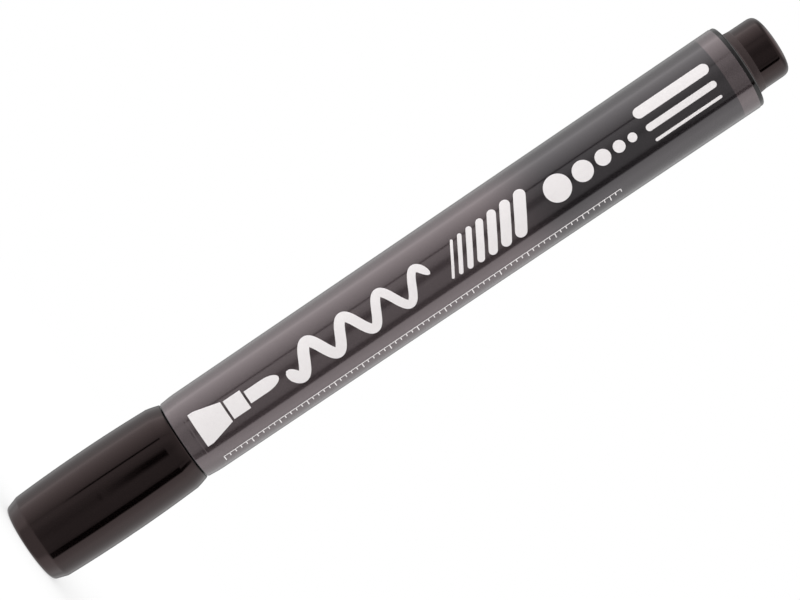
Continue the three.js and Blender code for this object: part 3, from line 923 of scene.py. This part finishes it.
def round_ends(length, half, steps, bends):
    """Distances along a straight stroke with round ends, and the half width at each: half at the
    middle, and the height of a circle of that radius past each end."""
    bend = np.linspace(-np.pi / 2, 0, bends)
    start = half * np.sin(bend)
    middle = np.linspace(0, length, steps)[1:-1]
    end = length - start[::-1]
    distance = np.concatenate([start, middle, end])
    beyond = np.clip(np.maximum(-distance, distance - length), 0, half)
    return distance, np.maximum(np.sqrt(half**2 - beyond**2), 0.01 * half)


def ink(name, slabs):
    """One printed piece from several slabs, joined as one mesh."""
    points, quads, start = [], [], 0
    for corners, faces in slabs:
        points.append(corners)
        quads.append(np.vstack(faces) + start)
        start += len(corners)
    return mesh_piece(name, np.vstack(points), [np.vstack(quads)], "marker", "label_film", WHITE_INK)


def bar(start, end, half, steps=40, bends=14, columns=9):
    """A straight stroke with round ends between two flat points."""
    start, end = np.array(start, dtype=float), np.array(end, dtype=float)
    length = np.linalg.norm(end - start)
    heading = (end - start) / max(length, 1e-9)
    distance, width = round_ends(length, half, steps, bends)
    return stroke(start + distance[:, None] * heading, width, columns)


def dot(centre, size):
    """A filled circle: a very short stroke with round ends."""
    return bar(centre, (centre[0] + 0.001, centre[1]), size)


print(f"ink stands {INK_GAP + INK:.3f} mm over the film")


# %% [markdown]
# The wave shows the line that the marker draws. It is a sine, drawn with a pen that thins towards
# the end. The nib beside it could be cut from flat shapes, but it is a stroke too: its half width
# follows the outline of a holder and a bullet tip.

# %% The nib and its wave
WAVE_START, WAVE_LENGTH, WAVE_HEIGHT, WAVE_PITCH = 47.0, 26.0, 2.1, 6.5
WAVE_HALF, WAVE_THINNING, WAVE_ROUND = 0.95, 0.35, 0.8
CONE_START, CONE_EDGE, CONE_END = 31.0, 32.0, 36.2
BULLET_START, BULLET_SHOULDER, BULLET_END = 40.0, 43.0, 45.6


def wave():
    """along = start + t, across = height times sin(2 pi t / pitch), with the ends rounded."""
    t = np.linspace(0, WAVE_LENGTH, 260)
    across = WAVE_HEIGHT * np.sin(2 * np.pi * t / WAVE_PITCH)
    half = WAVE_HALF * (1 - WAVE_THINNING * t / WAVE_LENGTH)
    into = np.clip(np.minimum(t, WAVE_LENGTH - t) / WAVE_ROUND, 0, 1)
    half *= np.sqrt(np.clip(1 - (1 - into) ** 2, 0.0004, 1))
    return stroke(np.stack([WAVE_START + t, across], axis=-1), half)


def pictured_nib():
    """A holder, a collar and a bullet nib as three strokes with small gaps between them."""
    cone = np.linspace(CONE_START, CONE_END, 24)
    cone_half = np.interp(cone, [CONE_START, CONE_EDGE, CONE_END], [2.9, 2.9, 1.75])
    collar = np.linspace(CONE_END + 0.4, BULLET_START - 0.4, 8)
    bullet = np.linspace(BULLET_START, BULLET_END, 60)
    past = ((bullet - BULLET_SHOULDER) / (BULLET_END - BULLET_SHOULDER)).clip(0)
    bullet_half = 1.05 * np.sqrt(np.clip(1 - past**2, 0.0004, 1))
    parts = [(cone, cone_half), (collar, np.full(len(collar), 1.6)), (bullet, bullet_half)]
    return [stroke(np.stack([z, np.zeros(len(z))], axis=-1), half) for z, half in parts]


ink("print_nib", pictured_nib())
ink("print_wave", [wave()])

# %% [markdown]
# The rest of the print shows the marker's line at other widths and slopes. Each motif could be
# modelled by hand, but each is a set of bars, dots or ticks that a loop makes from a few numbers
# of its own.

# %% Bars, dots, weights and the scale
BARS_START, BAR_LEAN, BAR_SIDE, BAR_SPACE = 77.0, 1.4, 2.4, 1.0
DOTS_START, DOT_SHRINK, DOT_SPACE = 96.0, 0.76, 0.7
LINES_START, LINES_END = 112.5, 124.0
SCALE_START, SCALE_LENGTH, SCALE_SIDE = 32.0, 72, 6.2


def slanted_bars():
    """Seven bars across the barrel whose weight grows evenly, all leaning the same way."""
    slabs, along = [], BARS_START
    for weight in np.linspace(0.22, 0.95, 7):
        slabs.append(bar((along - BAR_LEAN, BAR_SIDE), (along + BAR_LEAN, -BAR_SIDE), weight))
        along += 2 * weight + BAR_SPACE
    return slabs


def falling_dots():
    """A row of dots, each smaller than the one before by the same share."""
    slabs, along, size = [], DOTS_START, 2.2
    while size > 0.7:
        slabs.append(dot((along, 0.0), size))
        along += size * (1 + DOT_SHRINK) + DOT_SPACE
        size *= DOT_SHRINK
    return slabs


def line_weights():
    """Three straight lines: bold, medium and fine."""
    lines = ((-2.6, 0.95), (0.2, 0.55), (2.4, 0.25))
    return [bar((LINES_START, across), (LINES_END, across), half) for across, half in lines]


def ticks():
    """A thin rule with a tick each millimetre, longer at every fifth. Each tick is a light mesh."""
    slabs = [bar((SCALE_START, SCALE_SIDE), (SCALE_START + SCALE_LENGTH, SCALE_SIDE), 0.09)]
    for millimetre in range(SCALE_LENGTH + 1):
        foot = (SCALE_START + millimetre, SCALE_SIDE)
        tip = (foot[0], SCALE_SIDE + (1.15 if millimetre % 5 == 0 else 0.65))
        slabs.append(bar(foot, tip, 0.085, steps=6, bends=5, columns=3))
    return slabs


ink("print_bars", slanted_bars())
ink("print_dots", falling_dots())
ink("print_weights", line_weights())
ink("print_scale", ticks())

# %% [markdown]
# ## The studio
# The marker stands on a pale floor in front of white. What it mirrors is a studio with white
# walls that fall off behind it, a bright ceiling, a bright panel at the left with a narrow black
# gap at its edge, a black flag at the right and a dim band in front, which stands for the dark
# room behind the camera. Card objects could stand for all of them. Drawn into the world as
# brightness over direction, they stay as sharp as they need to be. The band is what gives a black
# gloss cylinder its shape: it shows as a dark stripe between two bright ones. In its middle a
# darker spot stands for the camera itself. The band ends over a white table, so the cap's coned
# end and the front cone of the barrel, which both lean downwards, mirror the table and look
# lighter. Only the camera, and anything clear that it looks through, sees plain white: gloss that
# mirrored plain white all round would lose its stripes.

# %% The world
BAND = (
    # angle round the axis from the camera's side, towards +X, in degrees, and brightness
    (-180, 0.3), (-163, 0.33), (-148, 0.75), (-125, 0.88), (-112, 1.08), (-103, 1.38), (-97, 1.86),
    (-88, 1.53), (-66, 1.12), (-50, 0.79), (-39.8, 0.53), (-39.3, 0.0), (-36.3, 0.0), (-35.8, 0.60),
    (-26, 0.56), (-16, 0.40), (0, 0.30), (17, 0.37), (40, 0.34), (47, 0.24), (49, 0.0), (63, 0.0),
    (65.5, 1.02), (90, 1.18), (110, 0.97), (148, 0.88), (163, 0.33), (180, 0.3),
)
OVER, CEILING = 0.62, 1.85
TABLE_SIDES, TABLE_MIDDLE = 1.35, 0.85
# the rises in degrees over which the band goes into what lies over it, the ceiling and the table
OVER_RISE, CEILING_RISE, TABLE_RISE = (19, 38), (45, 65), (-11, -26)
# the camera's dark spot, the gap, which is closed over and under its middle, and the flag's cut corner
LENS_TURN, GAP_TURN, CORNER_TURN = -1, -37.8, 51
GAP_END_LEVEL, CORNER_LEVEL = 0.56, 0.34


def band_level(shader, turn):
    """The band's brightness at a turn in degrees, by straight lines between its stops."""
    node = shader.node("ShaderNodeValToRGB", {"Fac": turn * (1 / 360) + 0.5})
    stops = node.color_ramp.elements
    stops[0].position, stops[1].position = 0, 1
    for degrees, _ in BAND[1:-1]:
        stops.new(degrees / 360 + 0.5)
    for stop, (_, level) in zip(stops, BAND):
        stop.color = (level, level, level, 1)
    return Value(shader, node.outputs["Color"])


def studio_world():
    """The studio over direction for what the gloss mirrors, and plain white for what is seen straight."""
    world = bpy.data.worlds.new("studio")
    bpy.context.scene.world = world
    shader = Shader(world)
    direction = shader.value("Generated", "ShaderNodeTexCoord")
    split = shader.node("ShaderNodeSeparateXYZ", {"Vector": direction})
    x, y, z = (Value(shader, split.outputs[axis]) for axis in "XYZ")
    rise = z.maths("ARCSINE") * (180 / math.pi)
    turn = x.maths("ARCTAN2", y * -1) * (180 / math.pi)
    lens = shader.near(turn, LENS_TURN, 3, 15) * shader.near(rise, 0, 1, 7.5)
    gap_end = shader.near(turn, GAP_TURN, 2.0, 2.3) * shader.near(rise, -0.5, 10, 6.5)
    corner = shader.near(turn, CORNER_TURN, 3.5, 4.0) * shader.ramp(rise, 6.8, 8.2)
    level = shader.blend(lens * 0.95, band_level(shader, turn), (0, 0, 0))
    level = shader.blend(gap_end, level, (GAP_END_LEVEL,) * 3)
    level = shader.blend(corner, level, (CORNER_LEVEL,) * 3)
    level = shader.blend(shader.ramp(rise, *OVER_RISE), level, (OVER,) * 3)
    level = shader.blend(shader.ramp(rise, *CEILING_RISE), level, (CEILING,) * 3)
    aside = (turn * (math.pi / 180)).maths("SINE").maths("ABSOLUTE")
    table = shader.ramp(aside, 0.70, 0.91, TABLE_MIDDLE, TABLE_SIDES)
    level = shader.blend(shader.ramp(rise, *TABLE_RISE), level, table)
    path = shader.node("ShaderNodeLightPath")
    seen, clear = (Value(shader, path.outputs[f"Is {kind} Ray"]) for kind in ("Camera", "Transmission"))
    lit = shader.value(0, "ShaderNodeBackground", {"Color": level, "Strength": 1.0})
    white = shader.value(0, "ShaderNodeBackground", {"Color": (1, 1, 1, 1), "Strength": 1.0})
    shader.end("ShaderNodeOutputWorld", shader.mixed(seen.maths("MAXIMUM", clear), lit, white))


studio_world()

# %% [markdown]
# The floor is a wide pale disc. A plain diffuse disc would end in a grey horizon. So it is lit by
# the lamps near the marker, where it keeps a soft shadow, and with distance it turns into the
# same white as the background. The marker mirrors the studio and not the floor: an upright
# cylinder would catch its near edge.

# %% The floor
FLOOR_RADIUS, FLOOR_CORNERS = 4.0, 96
FLOOR_NEAR, FLOOR_FAR = 0.03, 0.22
FLOOR_GLOW = 0.66


def pale_floor():
    shader = material("pale floor")
    seen = shader.value("Is Camera Ray", "ShaderNodeLightPath")
    place = {"Vector": shader.place()}
    distance = shader.value("Value", "ShaderNodeVectorMath", place, operation="LENGTH")
    glow = shader.ramp(distance, FLOOR_NEAR, FLOOR_FAR).maths("MAXIMUM", FLOOR_GLOW)
    diffuse = shader.value(0, "ShaderNodeBsdfDiffuse", {"Color": (0.82, 0.82, 0.82, 1)})
    white = shader.value(0, "ShaderNodeEmission", {"Color": (1, 1, 1, 1), "Strength": 1.0})
    return shader.end("ShaderNodeOutputMaterial", shader.mixed(seen * glow, diffuse, white))


def add_floor():
    angle = np.linspace(0, 2 * np.pi, FLOOR_CORNERS, endpoint=False)
    rim = FLOOR_RADIUS * np.stack([np.cos(angle), np.sin(angle), 0 * angle], axis=-1)
    mesh = bpy.data.meshes.new("floor")
    mesh.from_pydata(rim.tolist(), [], [list(range(FLOOR_CORNERS))])
    floor = placed("floor", mesh)
    floor.data.materials.append(pale_floor())
    floor.visible_glossy = False


add_floor()

# %% [markdown]
# Two square lamps stand high in front and light the white ink and the floor. The plastic doesn't
# mirror them: the studio's walls and ceiling are drawn in the world, and the rounded edges mirror
# those.

# %% The lamps
LAMP_TARGET = np.array([0, 0, 0.07])


def stand(thing, right, up, back, place):
    """Stands an object by its three axes and its place, in metres. Lamps and cameras look along -back."""
    matrix = np.eye(4)
    matrix[:3] = np.stack([right, up, back, place], axis=1)
    thing.matrix_world = Matrix(matrix.tolist())


def softbox(name, place, size, watts):
    """A square area lamp aimed at the middle of the marker."""
    data = bpy.data.lights.new(name, "AREA")
    data.shape = "SQUARE"
    data.size = size
    data.energy = watts
    lamp = placed(name, data)
    lamp.visible_glossy = False
    away = np.array(place) - LAMP_TARGET
    away /= np.linalg.norm(away)
    side = np.cross([0, 0, 1], away)
    side /= np.linalg.norm(side)
    stand(lamp, side, np.cross(away, side), away, place)
    print(f"{name}: {watts} W at {place}")


softbox("key", (-0.40, -0.50, 0.85), 0.8, 3.7)
softbox("fill", (0.6, -0.25, 0.8), 0.8, 1.1)

# %% [markdown]
# ## The camera
# The photograph looks square at the marker's side from a bit under half a metre, with the marker
# running up to the right, so the camera is rolled. Its roll was solved from the two ends of the
# marker, and the picture's middle from the whole outline. Distance and height come from how far
# the rings on the marker's near side are shifted against their ends in the outline: a nearer
# camera shifts them more, and they aren't shifted at all at the camera's own height.

# %% The camera
IMAGE_LEAN = math.radians(34.05)
SENSOR = 36.0
DISTANCE, CAMERA_HEIGHT = 430.0, 62.0
MIDDLE_X, MIDDLE_HEIGHT = 0.69, 67.16
VIEW_WIDTH = 121.63


def add_camera():
    data = bpy.data.cameras.new("camera")
    data.sensor_width = SENSOR
    data.lens = SENSOR * DISTANCE / VIEW_WIDTH
    data.clip_start, data.clip_end = 0.01, 20
    camera = placed("camera", data)
    place = np.array([MIDDLE_X, -DISTANCE, CAMERA_HEIGHT])
    back = place - np.array([MIDDLE_X, 0, MIDDLE_HEIGHT])
    back /= np.linalg.norm(back)
    level = np.array([1.0, 0, 0])
    rise = np.cross(back, level)
    right = math.sin(IMAGE_LEAN) * level + math.cos(IMAGE_LEAN) * rise
    up = math.sin(IMAGE_LEAN) * rise - math.cos(IMAGE_LEAN) * level
    stand(camera, right, up, back, place * MM)
    bpy.context.scene.camera = camera
    print(f"lens {data.lens:.1f} mm at {DISTANCE:.0f} mm from the marker")


add_camera()

# %% [markdown]
# A filmic view would soften the whites and shift the colours. The plain one shows a colour about
# as it is written, so that the black and the film's mauve-grey can be compared with the
# photograph.

# %% Colour management stays plain
bpy.context.scene.view_settings.view_transform = "Standard"
print("view transform", bpy.context.scene.view_settings.view_transform)

# %% [markdown]
# The marker that is seen and the solids that it stands for must fill the same space.

# %% [markdown]
